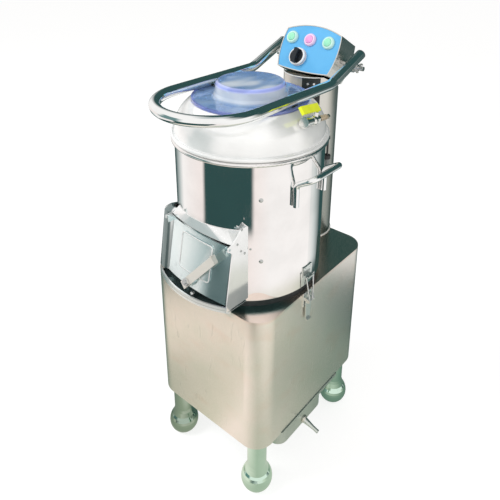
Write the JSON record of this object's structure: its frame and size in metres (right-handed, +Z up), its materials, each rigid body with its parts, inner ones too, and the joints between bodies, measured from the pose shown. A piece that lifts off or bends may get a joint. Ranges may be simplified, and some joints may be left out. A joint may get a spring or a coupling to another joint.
{
  "type": "electric potato peeler",
  "caption": "Floor-standing electric potato peeler: round drum with abrasive disc on a motor cabinet, hinged discharge door, lift-up lid and tilted control head.",
  "frame": {"origin": "on the floor, at the middle of the machine's outer box", "axes": "+Z up, the discharge door faces -Y, the water valve is on +X"},
  "size_m": [0.4012, 0.514, 1.0087],
  "materials": {
    "brushed_sheet": "brushed stainless sheet",
    "polished_steel": "polished stainless steel",
    "screw_steel": "bright turned steel",
    "cast_grey": "cast and turned",
    "painted_steel": "satin dark grey",
    "motor_paint": "satin blue-grey",
    "nickel_brass": "nickel plated",
    "brass": "turned brass",
    "black_rubber": "matt",
    "abrasive": "coarse bonded grit",
    "black_plastic": "satin",
    "white_plastic": "gloss",
    "green_plastic": "gloss, slightly translucent",
    "pink_plastic": "gloss, slightly translucent",
    "yellow_plastic": "dipped vinyl",
    "blue_panel": "printed film",
    "clear_plastic": "clear moulded"
  },
  "bodies": {
    "frame": {"cabinet_shell": "brushed_sheet", "base_plate": "brushed_sheet", "rear_panel": "brushed_sheet", "cover_screws": "screw_steel", "feet": "polished_steel", "foot_pads": "black_rubber", "drain_pan": "brushed_sheet", "drum": "polished_steel", "drum_gasket": "black_rubber", "abrasive_liner": "abrasive", "bearing_housing": "cast_grey", "shaft_bearings": "screw_steel", "shaft_seal": "black_rubber", "drive_belt": "black_rubber", "motor": "motor_paint", "motor_bracket": "painted_steel", "cable_gland": "black_plastic", "dome_cover": "polished_steel", "mouth_seal": "black_rubber", "pivot_studs": "screw_steel", "column": "brushed_sheet", "column_cover": "brushed_sheet", "head_shell": "brushed_sheet", "head_rear_cover": "brushed_sheet", "front_panel": "blue_panel", "button_bezels": "white_plastic", "timer_body": "white_plastic", "outlet_frame": "polished_steel", "outlet_tray": "polished_steel", "latch_stud": "screw_steel", "water_valve": "nickel_brass", "hose_barb": "brass", "side_handles": "polished_steel", "latch_keepers": "polished_steel", "latch_bases": "polished_steel", "interlock": "black_plastic"},
    "disc": {"abrasive_disc": "abrasive", "disc_nut": "screw_steel", "drive_shaft": "screw_steel", "driven_pulley": "cast_grey"},
    "motor_rotor": {"motor_pulley": "cast_grey"},
    "lid_loop": {"lift_loop": "polished_steel", "loop_end_caps": "black_plastic", "lid_brackets": "screw_steel", "clear_lid": "clear_plastic"},
    "wing_nut_right": {"wing_nut_right": "screw_steel"},
    "wing_nut_left": {"wing_nut_left": "screw_steel"},
    "door": {"outlet_door": "polished_steel", "door_gasket": "black_rubber", "lever_bolt": "screw_steel"},
    "door_lever": {"door_lever": "brushed_sheet"},
    "timer_knob": {"timer_knob": "black_plastic"},
    "button_start": {"button_start": "green_plastic"},
    "button_stop": {"button_stop": "pink_plastic"},
    "button_drain": {"button_drain": "green_plastic"},
    "valve_lever": {"valve_lever": "yellow_plastic"},
    "latch_lever_right": {"latch_lever_right": "polished_steel"},
    "latch_lever_left": {"latch_lever_left": "polished_steel"},
    "latch_bail_right": {"latch_bail_right": "screw_steel"},
    "latch_bail_left": {"latch_bail_left": "screw_steel"}
  },
  "joints": [
    {"name": "disc_spin", "type": "hinge", "parent": "frame", "child": "disc", "pos_m": [0, -0.03, 0.53], "axis": [0, 0, 1], "continuous": true},
    {"name": "motor_spin", "type": "hinge", "parent": "frame", "child": "motor_rotor", "pos_m": [0, 0.112, 0.25], "axis": [0, 0, 1], "continuous": true},
    {"name": "lid_lift", "type": "hinge", "parent": "frame", "child": "lid_loop", "pos_m": [0, 0.213, 0.926], "axis": [-1, 0, 0], "range_deg": [0, 75]},
    {"name": "wing_nut_right_turn", "type": "hinge", "parent": "frame", "child": "wing_nut_right", "pos_m": [0.1, 0.213, 0.926], "axis": [1, 0, 0], "continuous": true},
    {"name": "wing_nut_left_turn", "type": "hinge", "parent": "frame", "child": "wing_nut_left", "pos_m": [-0.1, 0.213, 0.926], "axis": [-1, 0, 0], "continuous": true},
    {"name": "door_swing", "type": "hinge", "parent": "frame", "child": "door", "pos_m": [-0.00866, -0.19527, 0.658], "axis": [-0.9986, 0.0523, 0], "range_deg": [0, 80]},
    {"name": "door_lever_turn", "type": "hinge", "parent": "door", "child": "door_lever", "pos_m": [-0.00049, -0.21124, 0.55141], "axis": [-0.0515, -0.9819, 0.1822], "range_deg": [0, 90]},
    {"name": "timer_turn", "type": "hinge", "parent": "frame", "child": "timer_knob", "pos_m": [-0.02, 0.15941, 0.94018], "axis": [0, 0.8788, -0.4772], "range_deg": [0, 300]},
    {"name": "valve_turn", "type": "hinge", "parent": "frame", "child": "valve_lever", "pos_m": [0.153, -0.024, 0.881], "axis": [0.1392, 0.1207, 0.9829], "range_deg": [0, 90]},
    {"name": "button_start_press", "type": "slide", "parent": "frame", "child": "button_start", "axis": [0, 0.8788, -0.4772], "range_m": [0, 0.003], "stiffness_N_per_m": 400, "springref_m": -0.004},
    {"name": "button_stop_press", "type": "slide", "parent": "frame", "child": "button_stop", "axis": [0, 0.8788, -0.4772], "range_m": [0, 0.003], "stiffness_N_per_m": 400, "springref_m": -0.004},
    {"name": "button_drain_press", "type": "slide", "parent": "frame", "child": "button_drain", "axis": [0, 0.8788, -0.4772], "range_m": [0, 0.003], "stiffness_N_per_m": 400, "springref_m": -0.004},
    {"name": "latch_lever_right_turn", "type": "hinge", "parent": "frame", "child": "latch_lever_right", "pos_m": [0.1665, -0.03, 0.484], "axis": [0, -1, 0], "range_deg": [0, 100]},
    {"name": "latch_bail_right_turn", "type": "hinge", "parent": "latch_lever_right", "child": "latch_bail_right", "pos_m": [0.171, -0.03, 0.4795], "axis": [0, 1, 0], "range_deg": [0, 100]},
    {"name": "latch_lever_left_turn", "type": "hinge", "parent": "frame", "child": "latch_lever_left", "pos_m": [-0.1665, -0.03, 0.484], "axis": [0, 1, 0], "range_deg": [0, 100]},
    {"name": "latch_bail_left_turn", "type": "hinge", "parent": "latch_lever_left", "child": "latch_bail_left", "pos_m": [-0.171, -0.03, 0.4795], "axis": [0, -1, 0], "range_deg": [0, 100]}
  ],
  "couplings": [
    {"joint": "motor_spin", "follows": "disc_spin", "ratio": 2.8846},
    {"joint": "latch_bail_right_turn", "follows": "latch_lever_right_turn", "ratio": 1},
    {"joint": "latch_bail_left_turn", "follows": "latch_lever_left_turn", "ratio": 1}
  ]
}
